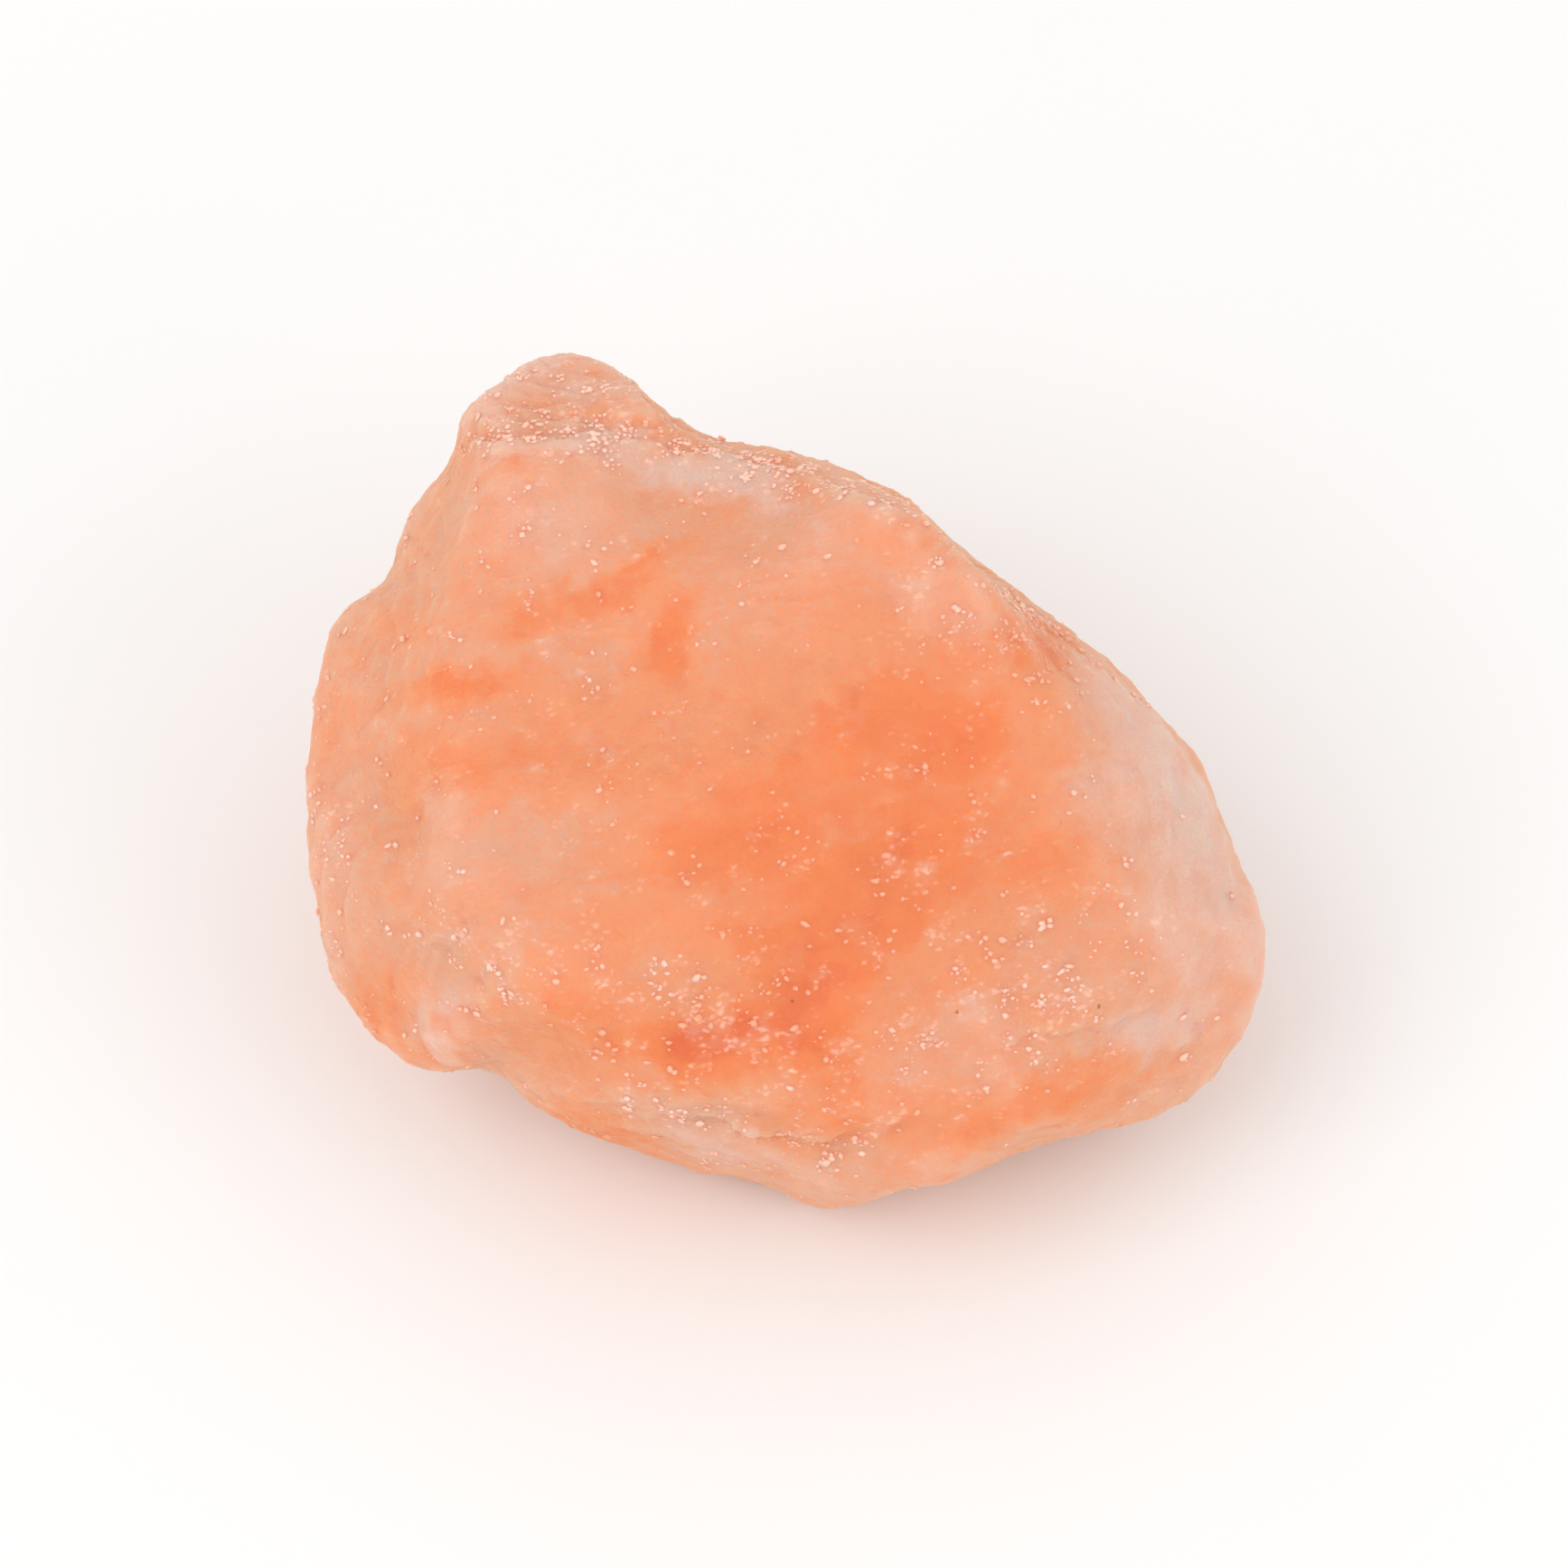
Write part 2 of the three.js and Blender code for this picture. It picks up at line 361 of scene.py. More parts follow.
# Where white flecks and crumbs crowd together
dustings = {
    "heart": ((2.5, -8.0), (12.0, 7.0), 30, 0.54),
    "lowerLeft": ((-9.5, -10.5), (9.0, 5.0), -12, 0.46),
    "lowerRight": ((12.0, -10.5), (8.0, 6.0), 20, 0.60),
    "bottomEdge": ((0.0, -16.0), (10.0, 3.4), 0, 0.65),
    "shoulderKnot": ((9.5, 7.2), (5.0, 2.8), -35, 0.70),
    "rimKnot": ((13.4, 6.6), (4.6, 1.8), -38, 0.45),
    "underNub": ((-10.0, 17.2), (8.5, 1.8), -4, 0.85),
    "nub": ((-11.0, 20.4), (6.6, 4.0), 0, 0.95),
    "ridgeKnot": ((-1.0, 15.6), (4.2, 1.7), -14, 1.2),
    "ridgeEnd": ((4.6, 13.9), (4.8, 1.6), -24, 0.8),
    "leftKnot": ((-19.0, 1.4), (2.0, 2.6), 80, 0.30),
    "lobe": ((-15.8, -8.8), (5.2, 2.8), -12, 0.64),
    "leftRim": ((-23.2, -3.6), (5.0, 1.4), 88, 0.40),
}


def saltColour(start, fine, grit, smears):
    # the clouds, the frost and the veils, with the mesh's marks stirred by the patterns, and thin edges
    # painted pale as painted light shining through them
    red = attribute(start, "red") + stir(fine, salt["fineStir"]) + stir(grit, salt["gritStir"])
    white = attribute(start, "white") + ramp(smears, salt["smearSpan"]) * salt["smearWhiteness"]
    thin = ramp(attribute(start, "thin"), salt["thinSpan"])
    body = blend(ramp(red, salt["peachSpan"]), salt["pale"], salt["peach"])
    body = blend(ramp(red, salt["orangeSpan"]), body, salt["orange"])
    body = blend(ramp(red, salt["emberSpan"]), body, salt["ember"])
    # painted light: thin edges are painted pale, as if lit through, where the salt is thin
    body = blend(thin * salt["paintedThinGlow"], body, salt["pale"])
    body = blend(ramp(white, salt["frostSpan"]) * salt["frostStrength"], body, salt["frost"])
    body = blend(ramp(white, salt["veilSpan"]), body, salt["veil"])
    darkest, lighter = salt["gritShade"]
    shade = darkest + grit * lighter
    return body.node("ShaderNodeVectorMath", {"operation": "SCALE"}, {0: body, "Scale": shade})


def fleckLayer(place, gathered, density, outline, gathering):
    distance, luck = cells(place, density)
    share = ramp(luck * dust["luckPull"] + gathered, gathering)
    return ramp(distance, outline) * share * dust["fleckStrength"]


def dusted(start, place, smears, body):
    # the colour with its dust on, and how strong the white flecks are
    wobble = grainy(place, *dust["fray"]).beside("Color")
    frayed = wobble.node("ShaderNodeVectorMath", {"operation": "MULTIPLY_ADD"}, {
        0: wobble, 1: (dust["frayReach"],) * 3, 2: place,
    })
    flattened = stretch(frayed, dust["slant"], dust["squeeze"])
    gathered = smears * dust["smearPull"] + dust["crowdPull"] * attribute(start, "crowd")
    bigFlecks = fleckLayer(flattened, gathered, *dust["bigFlecks"])
    flecks = bigFlecks + fleckLayer(flattened, gathered, *dust["smallFlecks"])
    rustCell, rustLuck = cells(frayed, dust["rustDensity"])
    rust = ramp(rustCell, dust["rustSpan"]) * ramp(rustLuck, dust["rustLuck"])
    body = blend(ramp(gathered, dust["hazeSpan"]) * dust["hazeStrength"], body, salt["frost"])
    body = blend(flecks, body, salt["white"])
    return blend(rust * dust["rustStrength"], body, salt["rust"]), flecks


def rockSalt():
    material, start = newMaterial("rockSalt")
    place = facePlace(start)
    fine = drawnOut(place, *salt["fine"])
    smears = drawnOut(place, *salt["smears"])
    grit = grainy(place, *salt["grit"])
    body, flecks = dusted(start, place, smears, saltColour(start, fine, grit, smears))
    height = grainy(place, *salt["knobs"]) * salt["knobHeight"] + grit * salt["gritHeight"]
    bump = height.node("ShaderNodeBump", {}, {
        "Strength": salt["bumpStrength"], "Distance": salt["bumpHeight"] * mm, "Height": height,
    })
    shader = start.node("ShaderNodeBsdfPrincipled", {"subsurface_method": "RANDOM_WALK"}, {
        "Base Color": body,
        "Roughness": salt["roughness"] + stir(smears, salt["smearRoughness"]) - flecks * salt["fleckGloss"],
        "IOR": salt["ior"],
        "Subsurface Weight": 1.0,
        "Subsurface Radius": salt["scatterDepth"],
        "Subsurface Scale": mm,
        "Normal": bump,
    })
    finish(start, shader)
    return material


# The crumbs' finish. A pattern is how many to a mm, and detail.
crumbFinish = {
    "dull": colour(247, 173, 137),
    "bright": colour(253, 210, 190),
    "mottle": (1.7, 2.0),
    "mottleStir": 1.2,
    "bumps": (9.0, 2.0),
    "bumpStrength": 0.3,
    "bumpHeight": 0.05,  # mm
    "polish": (3.0, 2.0),
    "roughness": (0.3, 0.2),  # the least, and how much the polish adds
}


def saltCrumb():
    material, start = newMaterial("saltCrumb")
    place = facePlace(start)
    mottle = grainy(place, *crumbFinish["mottle"])
    tint = ramp(attribute(start, "pale") + stir(mottle, crumbFinish["mottleStir"]), (0.0, 1.0))
    bump = tint.node("ShaderNodeBump", {}, {
        "Strength": crumbFinish["bumpStrength"],
        "Distance": crumbFinish["bumpHeight"] * mm,
        "Height": grainy(place, *crumbFinish["bumps"]),
    })
    least, more = crumbFinish["roughness"]
    shader = start.node("ShaderNodeBsdfPrincipled", {}, {
        "Base Color": blend(tint, crumbFinish["dull"], crumbFinish["bright"]),
        "Roughness": least + grainy(place, *crumbFinish["polish"]) * more,
        "IOR": salt["ior"],
        "Normal": bump,
    })
    finish(start, shader)
    return material


def tableTop():
    material, start = newMaterial("tableTop")
    dark, light = [(grey, grey, grey, 1) for grey in stage["tableGreys"]]
    shader = start.node("ShaderNodeBsdfPrincipled", {}, {
        "Base Color": blend(grainy(objectPlace(start), *stage["tableMottle"]), dark, light),
        "Roughness": stage["tableRoughness"],
    })
    finish(start, shader)
    return material


# The lump
lump = {
    "node": "salt_lump",
    "weld": 0.001,  # mm, corners closer than this are one
    "refinements": 2,
    "seed": 7,
    "flatUnder": (0.15, 1.6),  # mm above the table: no relief below the first, full relief over the second
    # relief: how many to a mm, height in mm, how fast its octaves die away, and their number
    "hollows": (0.17, 0.34, 1.0, 3),
    "waves": (0.52, 0.13, 0.9, 2),
    "grain": (1.5, 0.055, 0.7, 2),
    "nubGrain": 1.2,  # how much the grain gains on the nub
    "faceCalm": 0.4,  # how far all relief dies away on the show face
    # where the nub, the back and the calm middle of the show face set in, in mm of the face's frame
    "nubRight": (1, -6),
    "nubUp": (15.5, 18.5),
    "backOut": (3, -4),
    "calmOut": (5, 9),
    "crisping": 0.8,  # how far the ridges are pushed out again after the rounding
    "mostCrisping": 0.35,  # mm
    "crispSteps": (22, 1),  # the mesh steps a ridge is measured over, and how often it is evened
    "edgeWander": (0.55, 0.5),  # how many to a mm, and how far the edges wander in mm
    "edgeBlur": 0.14,  # mm, half the width over which an edge drops
    "edgeTaper": 2.0,  # mm, over which an edge dies out at its ends
    "thinRays": 9,
    "thinSpread": 0.9,  # how far the rays fan out, as a slope
    "thinTurn": 2.4,  # radians from one ray to the next
    "thinStart": 0.05,  # mm under the skin
    "thickest": 16.0,  # mm
}
noise.seed_set(lump["seed"])  # without this the noise vectors differ from run to run

# Small cleaved steps: the skin sinks along a tread and comes back up at its end
steps = {
    "density": 0.11,  # to a mm
    "from": Vector((3, 8, 1)),  # the part of the noise that is used
    "rises": 6,
    "fray": (0.5, 0.5),  # how many to a mm, and how far they fray a step, as a share of it
    "tread": (0.82, 0.18),  # the tread's share of a step, and the rise's
    "height": 0.30,  # mm
    "patchDensity": 0.09,  # to a mm
    "patchFrom": Vector((9, 2, 5)),
    "patchShare": (0.5, 2.2),  # how much of the skin has steps, and how sharply that ends
    "onFace": (0.45, 0.55),  # how strong they are on the show face, and how much stronger behind
}

pits = {
    "density": 0.42,  # to a mm
    "width": 0.42,  # a pit's half width, as a share of the gap between pits
    "steepness": 1.3,
    "depth": 0.26,  # mm
    "patchDensity": 0.16,  # to a mm
    "patchFrom": Vector((1, 4, 7)),
    "patchShare": (0.08, 2.2),  # how much of the skin has pits, and how fast they deepen there
}

# Small edges on the show face. The first height is how far the skin stands out just to the right of the run
# through the points, the second just to the left, and both heal away over the last number. All in mm.
edges = {
    "ridge": ([(-17.2, 16.4), (-15.2, 17.3), (-8.9, 17.5), (-5.3, 16.9), (-2.0, 16.1), (1.0, 15.6),
               (6.9, 13.0), (10.5, 10.0)], 0.18, -0.28, 1.5),
    "terraceLow": ([(-16.4, 18.0), (-11.9, 18.4), (-8.5, 18.0), (-3.6, 17.3)], 0.10, -0.16, 0.6),
    "terraceHigh": ([(-15.8, 18.9), (-11.5, 19.3), (-7.2, 19.0)], 0.08, -0.14, 0.6),
    "underRidge": ([(-15.6, 16.5), (-11.7, 16.6), (-8.0, 16.2)], -0.14, 0.08, 0.7),
    "bottomLedge": ([(-7.0, -16.4), (-4.6, -16.8), (-2.8, -17.2), (-0.6, -17.8), (1.8, -17.8), (4.0, -17.3)],
                    -0.55, 0.12, 1.8),
    "bottomStrip": ([(-9.5, -16.9), (-6.4, -18.2), (-3.0, -19.4)], -0.25, 0.0, 1.2),
    "lobeEdge": ([(-14.8, -11.0), (-15.4, -8.4)], 0.06, -0.40, 1.6),
    "lobeTop": ([(-21.6, -8.2), (-18.2, -7.9), (-15.8, -8.8)], -0.12, 0.0, 1.6),
    "shoulderEdge": ([(11.0, 9.8), (13.5, 8.0), (15.0, 6.6), (18.4, 4.2), (20.0, 1.6)], 0.06, -0.16, 1.0),
    "lowerRightStep": ([(9.5, -13.4), (14.5, -12.4), (19.5, -10.8)], -0.16, 0.06, 1.2),
}


def pieceFrom(bm, name):
    mesh = bpy.data.meshes.new(name)
    bm.to_mesh(mesh)
    bm.free()
    piece = bpy.data.objects.new(name, mesh)
    bpy.context.scene.collection.objects.link(piece)
    return piece


def weldedCopy(nodeName):
    bm = bmesh.new()
    bm.from_mesh(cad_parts[nodeName].data)
    bmesh.ops.remove_doubles(bm, verts=bm.verts, dist=lump["weld"] * mm)
    bmesh.ops.recalc_face_normals(bm, faces=bm.faces)
    return bm


def thinness(bm):
    # how little salt lies under each corner, 0 for thick and 1 for a thin edge
    tree = BVHTree.FromBMesh(bm)
    layer = bm.verts.layers.float.new("thin")
    rays = []
    for step in range(lump["thinRays"]):
        turn = step * lump["thinTurn"]
        out = lump["thinSpread"] * math.sqrt(step / lump["thinRays"])
        rays.append(Vector((out * math.cos(turn), out * math.sin(turn), 1)).normalized())
    for vert in bm.verts:
        inward = vert.normal.to_track_quat("-Z", "Y").to_matrix()
        start = vert.co - vert.normal * lump["thinStart"] * mm
        total = 0
        for ray in rays:
            hit = tree.ray_cast(start, inward @ ray)
            total += min(lump["thickest"], hit[3] / mm if hit[3] else lump["thickest"])
        vert[layer] = 1 - total / len(rays) / lump["thickest"]


def besideRun(points, flat):
    # how far each place is from the run through the points, and how far to the left of it, in mm
    nearest = np.full(len(flat), farAway)
    left = np.zeros(len(flat))
    for start, end in zip(points, points[1:]):
        start, along = np.array(start), np.array(end) - np.array(start)
        share = (flat - start) @ along / (along @ along)
        away = flat - start - np.clip(share, 0, 1)[:, None] * along
        far = np.linalg.norm(away, axis=1)
        across = (along[0] * away[:, 1] - along[1] * away[:, 0]) / np.linalg.norm(along)
        left = np.where(far < nearest, across, left)
        nearest = np.minimum(nearest, far)
    return nearest, left


def edgeRelief(points, rightHeight, leftHeight, heal, places):
    flat = places[:, :2]
    nearest, left = besideRun(points, flat)
    height = rightHeight + (leftHeight - rightHeight) * smooth(-lump["edgeBlur"], lump["edgeBlur"], left)
    fromEnds = np.minimum(*[np.linalg.norm(flat - np.array(end), axis=1) for end in (points[0], points[-1])])
    onFace = smooth(*faceStart, places[:, 2])
    return height * np.exp(-nearest / heal) * onFace * smooth(0, lump["edgeTaper"], fromEnds)


def swell(p, density, height, fall, octaves, gain=1):
    return height * gain * noise.fractal(p * density, fall, 2.0, octaves)


def stepRelief(p, onBack):
    frayDensity, fray = steps["fray"]
    tread, rise = steps["tread"]
    level = noise.noise(p * steps["density"] + steps["from"]) * steps["rises"]
    level += fray * noise.noise(p * frayDensity)
    part = level - math.floor(level)
    risen = clamped((part - tread) / rise)
    share, sharpness = steps["patchShare"]
    where = clamped(share + sharpness * noise.noise(p * steps["patchDensity"] + steps["patchFrom"]))
    least, more = steps["onFace"]
    strength = least + more * onBack
    return steps["height"] * (risen * risen * (3 - 2 * risen) - part) * where * strength


def pitDepth(p):
    gaps, _ = noise.voronoi(p * pits["density"])
    share, growth = pits["patchShare"]
    where = max(0.0, noise.noise(p * pits["patchDensity"] + pits["patchFrom"]) + share)
    return pits["depth"] * where * growth * max(0.0, 1 - gaps[0] / pits["width"]) ** pits["steepness"]


def reliefOf(places):
    # how far each point of the skin stands out, in mm
    right, up, out = places.T
    onNub = smooth(*lump["nubUp"], up) * smooth(*lump["nubRight"], right)
    onBack = smooth(*lump["backOut"], out)
    calm = 1 - lump["faceCalm"] * smooth(*lump["calmOut"], out) * (1 - onNub)
    relief = np.zeros(len(places))
    for i, place in enumerate(places):
        p = Vector(place)
        value = swell(p, *lump["hollows"]) + swell(p, *lump["waves"])
        value += swell(p, *lump["grain"], 1 + lump["nubGrain"] * onNub[i])
        value += stepRelief(p, onBack[i])
        value -= pitDepth(p)
        relief[i] = value * calm[i]
    density, reach = lump["edgeWander"]
    wander = np.array([noise.noise_vector(Vector(place) * density) for place in places]) * reach
    for points, rightHeight, leftHeight, heal in edges.values():
        relief += edgeRelief(points, rightHeight, leftHeight, heal, places + wander)
    return relief


def readPoints(mesh):
    places, normals = np.zeros(len(mesh.vertices) * 3), np.zeros(len(mesh.vertices) * 3)
    mesh.vertices.foreach_get("co", places)
    mesh.vertex_normals.foreach_get("vector", normals)
    return places.reshape(-1, 3), normals.reshape(-1, 3)


def proudness(mesh, reach, evenings):
    # how far each point stands out from the mean of those within so many steps, in mm
    places, normals = readPoints(mesh)
    ends = np.zeros(len(mesh.edges) * 2, int)
    mesh.edges.foreach_get("vertices", ends)
    one, other = ends[0::2], ends[1::2]
    count = len(places)
    neighbours = np.bincount(ends, minlength=count)

    def around(values):
        total = np.bincount(one, values[other], count) + np.bincount(other, values[one], count)
        return total / neighbours

    broad = [column for column in places.T]
    for _ in range(reach):
        broad = [around(column) for column in broad]
    proud = np.einsum("ij,ij->i", places - np.array(broad).T, normals) / mm
    for _ in range(evenings):
        proud = around(proud)
    return proud


def addLayer(mesh, name, values):
    layer = mesh.attributes.new(name, "FLOAT", "POINT")
    layer.data.foreach_set("value", values.astype(np.float32))


def readLayer(mesh, name):
    values = np.zeros(len(mesh.vertices))
    mesh.attributes[name].data.foreach_get("value", values)
    return values


def makeLump():
    bm = weldedCopy(lump["node"])
    thinness(bm)
    piece = pieceFrom(bm, "rock_salt_lump")
    finer = piece.modifiers.new("finer", "SUBSURF")
    finer.levels = finer.render_levels = lump["refinements"]
    bpy.context.view_layer.update()
    piece.data = bpy.data.meshes.new_from_object(piece.evaluated_get(bpy.context.evaluated_depsgraph_get()))
    piece.modifiers.clear()
    mesh = piece.data
    places, normals = readPoints(mesh)
    rise = smooth(*lump["flatUnder"], places[:, 2] / mm)
    most = lump["mostCrisping"]
    crisp = np.clip(proudness(mesh, *lump["crispSteps"]) * lump["crisping"], -most, most)
    places = places + normals * ((reliefOf(faceFrame(places)) + crisp) * rise * mm)[:, None]
    places[:, 2] = np.maximum(places[:, 2], 0)
    mesh.vertices.foreach_set("co", places.ravel())
    mesh.update()
    mesh.shade_smooth()
    return piece


# The marks in the salt, kept on the mesh for its material
marks = {
    "cloudDepth": 8.0,  # mm
    "spotSpan": (1.25, 0.1),  # a named spot from its edge to its full middle, as a share of its half sizes
    "above": 60,  # mm over the show face, where the search for its skin starts
    "drift": ((0.24, 1.1), (0.9, 0.75), (2.2, 0.4)),  # how many to a mm, and the marks' shift in mm
    # drawn-out patterns: slant in degrees, and how many to a mm along, across and into the show face
    "wisps": (14, (0.16, 0.42, 0.30)),
    "veins": (-20, (0.28, 0.50, 0.36)),
    "backClouds": (30, (0.07, 0.11, 0.09)),
    "patternSwing": 0.42,
    "patternFall": 1.2,  # how fast the octaves die away
    "patternOctaves": 4,
    # red
    "redEverywhere": 0.20,
    "redInWisps": (0.6, 0.8),  # the least of a cloud's red, and how much the wisps add
    "redStir": 0.5,
    # white
    "whiteInVeins": (0.15, 0.65),
    "leastWhite": 0.5,  # share of a frosting that is left between the veins
    "veinSpan": (0.6, 1.0),
    "veinWhite": 0.4,
    "wornSteps": (8, 2),
    "wornSpan": (0.02, 0.16),  # mm that a worn edge stands out
    "wornWhite": 0.5,
    # the back has clouds and frost of its own
    "backOut": (-1, -7),  # mm
    "backRedSpan": (0.46, 0.85),
    "backRed": 1.1,
    "backWhiteSpan": (0.44, 0.15),
    "backWhite": 0.9,
    # dust
    "clumping": (0.45, 0.8, 2),  # how many to a mm, how fast the octaves die away, and their number
    "dustEverywhere": 0.25,
    "dustInSpots": 0.8,
    "dustInClumps": 0.6,
    "mostDust": 1.5,
}


def depthFinder(piece):
    # the z of the show face's skin over a point x, y of its frame
    tree = BVHTree.FromObject(piece, bpy.context.evaluated_depsgraph_get())
    outward = toFace.inverted() @ Vector((0, 0, 1))

    def depthAt(x, y):
        start = middle * mm + toFace.inverted() @ (Vector((x, y, marks["above"])) * mm)
        hit = tree.ray_cast(start, -outward)
        return marks["above"] - hit[3] / mm if hit[3] else 0.0

    return depthAt


def alongSlant(places, slant):
    # how far along and how far across a slant each place is
    turn = math.radians(slant)
    across, up = places[:, 0], places[:, 1]
    return across * math.cos(turn) + up * math.sin(turn), up * math.cos(turn) - across * math.sin(turn)


def spotted(entries, places, depthAt):
    # how strongly each place lies in the named spots
    total = np.zeros(len(places))
    for (x, y), (long, short), slant, strength in entries.values():
        offsets = places - (x, y, depthAt(x, y))
        along, beside = alongSlant(offsets, slant)
        depth = offsets[:, 2] / marks["cloudDepth"]
        far = np.sqrt((along / long) ** 2 + (beside / short) ** 2 + depth ** 2)
        total += smooth(*marks["spotSpan"], far) * strength
    return total


def streaky(places, slant, density):
    # a pattern from about 0 to 1, drawn out along its own slant
    drawn = np.stack([*alongSlant(places, slant), places[:, 2]], 1) * density
    fall, octaves = marks["patternFall"], marks["patternOctaves"]
    return np.array([0.5 + marks["patternSwing"] * noise.fractal(Vector(place), fall, 2.0, octaves)
                     for place in drawn])


def driftAt(place):
    shift = Vector((0, 0, 0))
    for density, reach in marks["drift"]:
        shift += noise.noise_vector(Vector(place) * density) * reach
    return shift


def markLump(piece):
    mesh = piece.data
    places = faceFrame(readPoints(mesh)[0])
    drifted = places + np.array([driftAt(place) for place in places])
    depthAt = depthFinder(piece)
    behind = smooth(*marks["backOut"], places[:, 2])
    wisps = streaky(drifted, *marks["wisps"])
    veins = streaky(drifted, *marks["veins"])
    backClouds = streaky(drifted, *marks["backClouds"])

    red = spotted(clouds, drifted, depthAt)
    red += smooth(*marks["backRedSpan"], backClouds) * behind * marks["backRed"]
    least, more = marks["redInWisps"]
    red = red * (least + more * wisps) + (wisps - 0.5) * marks["redStir"] + marks["redEverywhere"]

    white = spotted(frostings, drifted, depthAt)
    white += smooth(*marks["backWhiteSpan"], backClouds) * behind * marks["backWhite"]
    white *= marks["leastWhite"] + (1 - marks["leastWhite"]) * smooth(*marks["whiteInVeins"], veins)
    white += smooth(*marks["veinSpan"], veins) * marks["veinWhite"]
    white += smooth(*marks["wornSpan"], proudness(mesh, *marks["wornSteps"])) * marks["wornWhite"]

    density, fall, octaves = marks["clumping"]
    clumping = np.array([noise.fractal(Vector(place) * density, fall, 2.0, octaves) for place in places])
    crowd = marks["dustEverywhere"] + spotted(dustings, places, depthAt) * (marks["dustInSpots"] + clumping)
    crowd += marks["dustInClumps"] * clumping
    addLayer(mesh, "red", red)
    addLayer(mesh, "white", white)
    addLayer(mesh, "crowd", np.clip(crowd, 0, marks["mostDust"]))


# Crumbs of salt that cling to the skin
crumbs = {
    "seed": 11,
    "clumps": 1500,
    "inClump": (1, 1, 2, 2, 3, 4, 6, 8),
    "clumpGrowth": 6,  # how many more crumbs a clump may hold where the dust is thick
    "clumpReach": 0.55,  # mm
    "clearOfTable": 0.5,  # mm
    # how crowded the crumbs are
    "everywhere": 0.16,
    "inClusters": 0.5,
    "inDustings": 3.0,
    "clusterSqueeze": (0.75, 1.25, 1),
    "broadClusters": (0.42, 0.2, 3),  # how many to a mm, how much of the skin they take, how crowded
    "smallClusters": (1.3, 1.3),  # how many to a mm, how crowded
    "bareSpot": ((20.5, 0.5), (3.5, 6), 0.75),  # place and half sizes in mm, and how bare the shoulder is
    # a crumb
    "size": (0.10, 0.46),  # mm
    "usual": 0.20,  # mm
    "sizeSpread": 0.38,
    "shapes": 6,
    "ragged": 0.15,  # how far a shape's corners are pushed, as a share of its size
    "long": (0.8, 1.6),  # share of the size
    "wide": (0.65, 1.05),
    "thick": (0.30, 0.50),
    "cubes": 0.12,  # share of them that kept their cubic form
    "cubeSide": 0.9,  # share of the size, before the shrinking
    "cubeShrink": 0.7,
    "cubeTip": 1,  # radians, the most that a cube is tipped
    "slant": 8,  # degrees; the long ones lie along the layers in the salt
    "slantSpread": 28,
    "sunk": 0.36,  # share of a crumb's thickness that is under the skin
    "paleSpan": (0.9, 0.0),  # a crumb is dull on salt as red as the first, and pale on the second
    "leastPale": 0.5,  # share of that which is left where there is no dust
}

# Rows where crumbs gather on an edge of the show face: the edge's points, the row's half width in mm, and how
# crowded it is
crumbRows = {
    "ridge": ([(-16.6, 16.9), (-15.2, 17.4), (-8.9, 17.6), (-5.3, 17.0), (-2.0, 16.2), (1.0, 15.7)],
              0.22, 10),
    "ridgeEnd": ([(1.0, 15.7), (6.9, 13.1), (9.6, 9.9)], 0.6, 2.5),
    "terraceLow": ([(-16.2, 16.5), (-11.7, 16.7)], 0.18, 4),
    "terraceHigh": ([(-15.0, 18.1), (-11.9, 18.5), (-8.5, 18.0), (-3.6, 17.2)], 0.18, 6),
    "ridgeKnot": ([(-3.2, 16.3), (0.2, 15.0)], 0.9, 3),
    "shoulder": ([(11.4, 9.6), (13.5, 8.1), (15.0, 6.7), (18.3, 4.4)], 0.35, 6),
    "shoulderKnot": ([(9.6, 9.8), (11.9, 9.0), (14.2, 6.4), (12.3, 5.1)], 0.5, 2.5),
    "bottomCrack": ([(-6.0, -16.2), (-2.8, -17.0), (-1.0, -17.3), (1.8, -17.5)], 0.4, 4),
    "leftRim": ([(-23.6, 0.2), (-22.6, -3.5), (-22.8, -8.0), (-21.2, -12.0)], 0.7, 3),
}


def crumbShape(cubic, draw):
    # a grain about 1 across
    bm = bmesh.new()
    if cubic:
        bmesh.ops.create_cube(bm, size=crumbs["cubeSide"])
    else:
        bmesh.ops.create_icosphere(bm, subdivisions=1, radius=0.5)
        for vert in bm.verts:
            vert.co += Vector(draw.uniform(-1, 1, 3)) * crumbs["ragged"]
    mesh = bpy.data.meshes.new("crumb shape")
    bm.to_mesh(mesh)
    bm.free()
    if not cubic:
        mesh.shade_smooth()
    return mesh


def clusterAt(place):
    p = Vector(place * crumbs["clusterSqueeze"])
    density, share, crowding = crumbs["broadClusters"]
    broad = max(0.0, noise.noise(p * density) + share) ** 2 * crowding
    density, crowding = crumbs["smallClusters"]
    return broad + max(0.0, noise.noise(p * density)) * crowding


def crumbCrowd(places, depthAt):
    # how likely crumbs are at each place of the face's frame
    cluster = np.array([clusterAt(place) for place in places])
    (x, y), (wide, high), bareness = crumbs["bareSpot"]
    right, up, out = places.T
    bare = 1 - bareness * np.exp(-((right - x) / wide) ** 2 - ((up - y) / high) ** 2)
    dusty = 1 + crumbs["inDustings"] * spotted(dustings, places, depthAt)
    crowd = (crumbs["everywhere"] + crumbs["inClusters"] * cluster) * dusty * bare
    onFace = smooth(*faceStart, out)
    for points, reach, crowding in crumbRows.values():
        nearest, _ = besideRun(points, places[:, :2])
        crowd += np.exp(-(nearest / reach) ** 2) * crowding * onFace
    return crowd


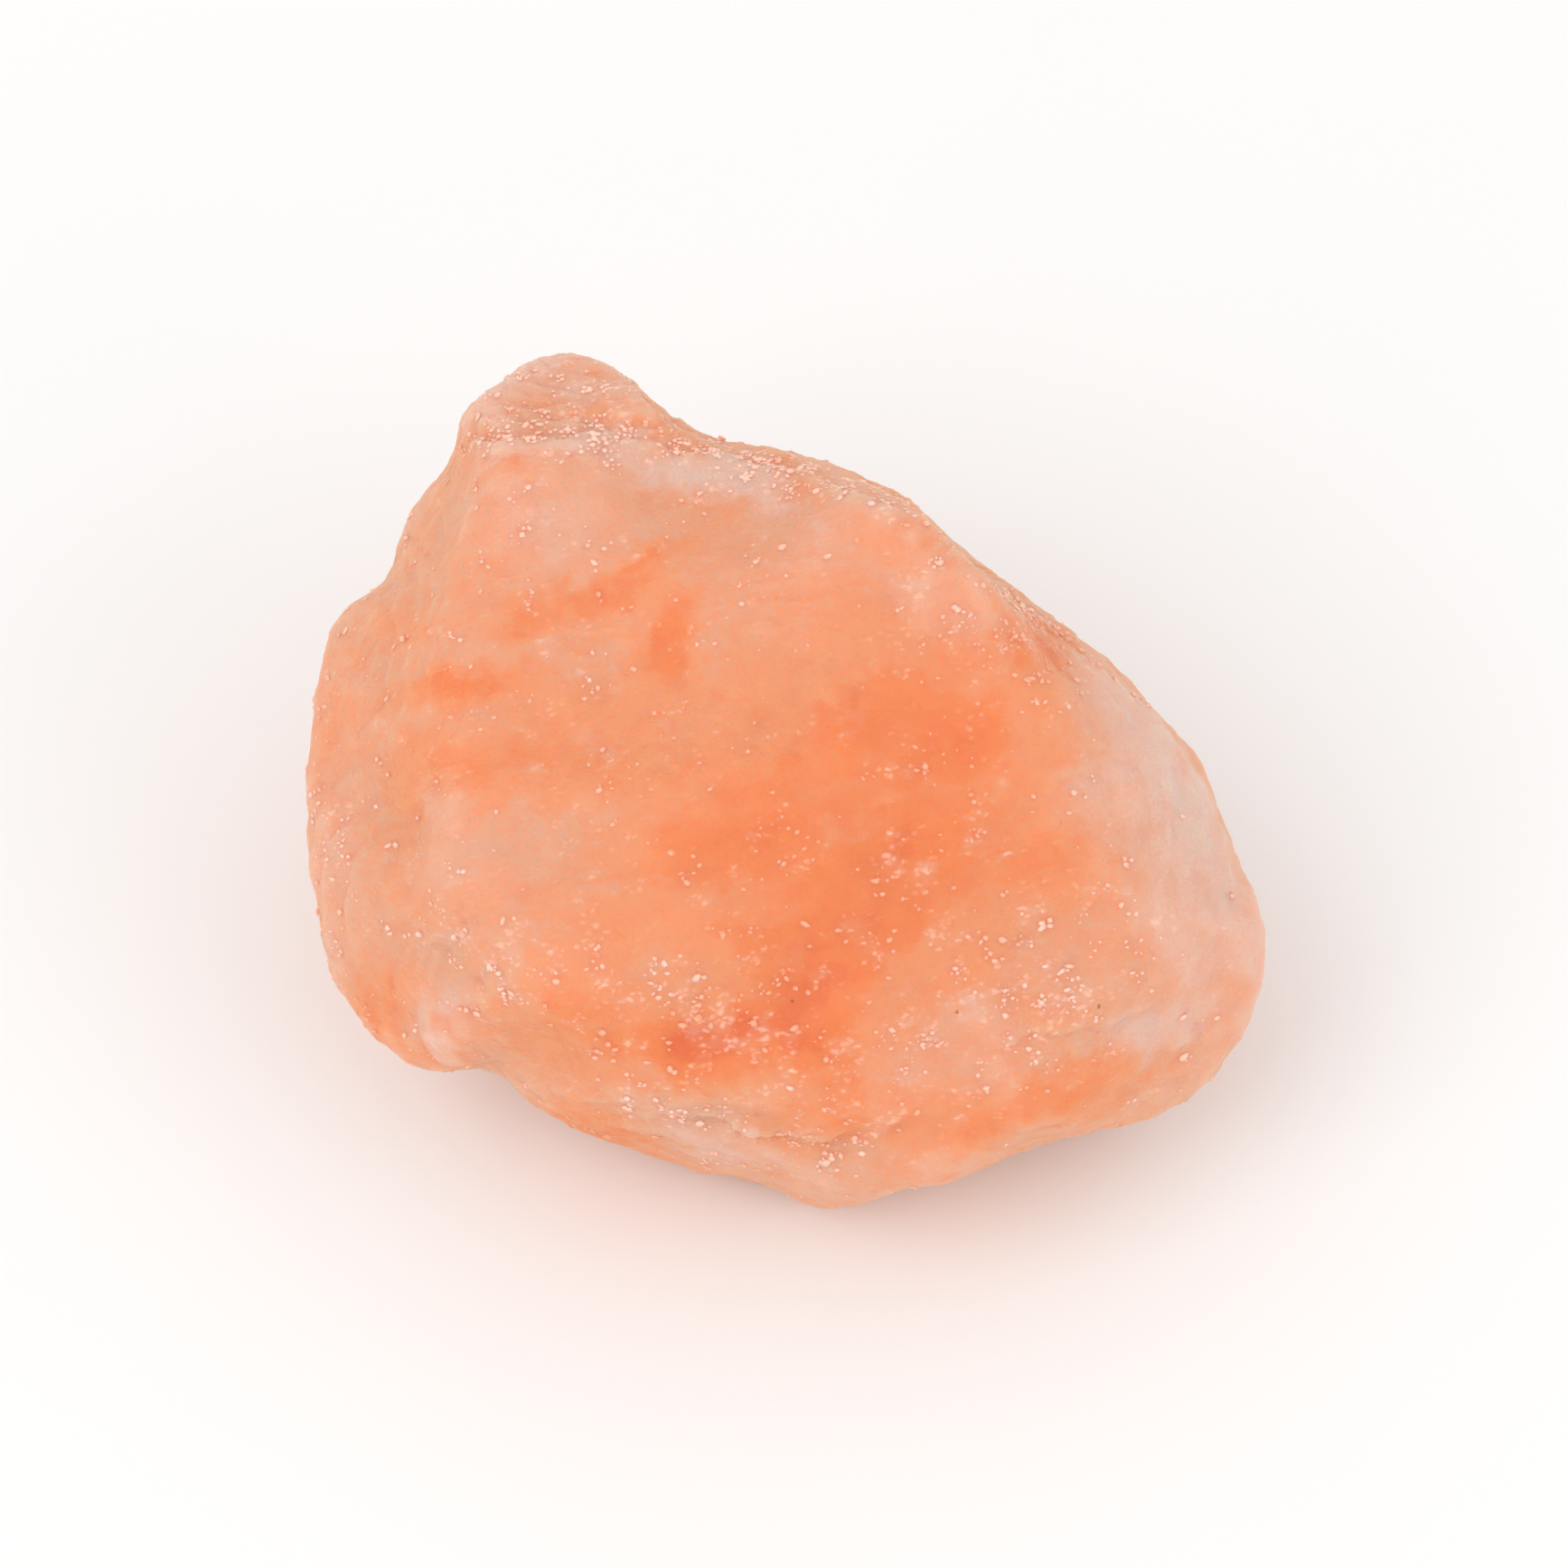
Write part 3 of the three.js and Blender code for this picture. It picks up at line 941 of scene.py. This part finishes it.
def crumbSeat(centre, skin, layers, draw):
    # where a crumb lies: its size, its place on the skin, and whether it is a cube
    spread = math.exp(draw.normal(0, crumbs["sizeSpread"]))
    size = float(np.clip(crumbs["usual"] * spread, *crumbs["size"])) * mm
    slant = math.radians(crumbs["slant"] + draw.normal(0, crumbs["slantSpread"]))
    lie = Matrix.Rotation(slant, 3, skin) @ (layers - skin * layers.dot(skin)).normalized()
    seat = Matrix((lie, skin.cross(lie), skin)).transposed().to_4x4()
    thick = draw.uniform(*crumbs["thick"])
    cubic = draw.uniform() < crumbs["cubes"]
    if cubic:
        tip = Matrix.Rotation(draw.uniform(0, crumbs["cubeTip"]), 4, "X")
        squeeze = tip @ Matrix.Scale(crumbs["cubeShrink"], 4)
    else:
        squeeze = Matrix.Diagonal((draw.uniform(*crumbs["long"]), draw.uniform(*crumbs["wide"]), thick, 1))
    centre = centre + skin * size * thick * (0.5 - crumbs["sunk"])
    return Matrix.Translation(centre) @ seat @ squeeze @ Matrix.Scale(size, 4), cubic


def chooseFaces(centres, chance, dusty, draw):
    # the faces of the lump that carry a crumb, in clumps
    seeds = draw.choice(len(centres), crumbs["clumps"], replace=False, p=chance / chance.sum())
    finder = kdtree.KDTree(len(centres))
    for face, centre in enumerate(centres):
        finder.insert(centre, face)
    finder.balance()
    chosen = []
    for seed in seeds:
        near = [face for _, face, _ in finder.find_range(centres[seed], crumbs["clumpReach"] * mm)]
        room = 1 + int(crumbs["clumpGrowth"] * dusty[seed])
        wanted = min(draw.choice(crumbs["inClump"]), len(near), room)
        chosen.extend([seed] if wanted == 1 else draw.choice(near, wanted, replace=False))
    return chosen


def makeCrumbs(piece):
    mesh = piece.data
    count = len(mesh.polygons)
    centres, normals, areas = np.zeros(count * 3), np.zeros(count * 3), np.zeros(count)
    mesh.polygons.foreach_get("center", centres)
    mesh.polygons.foreach_get("normal", normals)
    mesh.polygons.foreach_get("area", areas)
    centres, normals = centres.reshape(-1, 3), normals.reshape(-1, 3)
    crowd = crumbCrowd(faceFrame(centres), depthFinder(piece))
    chance = areas * crowd * (centres[:, 2] > crumbs["clearOfTable"] * mm)
    under = np.array([polygon.vertices[0] for polygon in mesh.polygons])
    dusty = readLayer(mesh, "crowd")[under]
    pale = smooth(*crumbs["paleSpan"], readLayer(mesh, "red"))[under]
    pale *= crumbs["leastPale"] + (1 - crumbs["leastPale"]) * np.minimum(1, dusty)

    draw = np.random.RandomState(crumbs["seed"])
    chosen = chooseFaces(centres, chance, dusty, draw)
    shapes = [crumbShape(kind == 0, draw) for kind in range(crumbs["shapes"])]
    layers = toFace.inverted() @ Vector((1, 0, 0))
    tints = []
    joined = bmesh.new()
    for face in chosen:
        whole, cubic = crumbSeat(Vector(centres[face]), Vector(normals[face]), layers, draw)
        shape = shapes[0 if cubic else draw.randint(1, crumbs["shapes"])]
        shape.transform(whole)
        joined.from_mesh(shape)
        shape.transform(whole.inverted())
        tints.extend([pale[face]] * len(shape.vertices))
    crumbPiece = pieceFrom(joined, "salt_crumbs")
    addLayer(crumbPiece.data, "pale", np.array(tints))
    crumbPiece.visible_shadow = False  # grains this small and clear let the light through
    return crumbPiece


def makeTable():
    bm = bmesh.new()
    bmesh.ops.create_grid(bm, x_segments=1, y_segments=1, size=stage["tableWidth"] / 2)
    table = pieceFrom(bm, "table")
    table.data.materials.append(tableTop())


makeTable()
lumpPiece = makeLump()
print("the lump is shaped:", len(lumpPiece.data.polygons), "faces")
markLump(lumpPiece)
print("the clouds and veils are marked on it")
crumbPiece = makeCrumbs(lumpPiece)
print("the crumbs are set:", len(crumbPiece.data.polygons), "faces")
lumpPiece.data.materials.clear()
lumpPiece.data.materials.append(rockSalt())
crumbPiece.data.materials.append(saltCrumb())
print("the salt is coloured")

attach(lumpPiece, "root")
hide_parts("salt_lump")
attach(crumbPiece, "root")
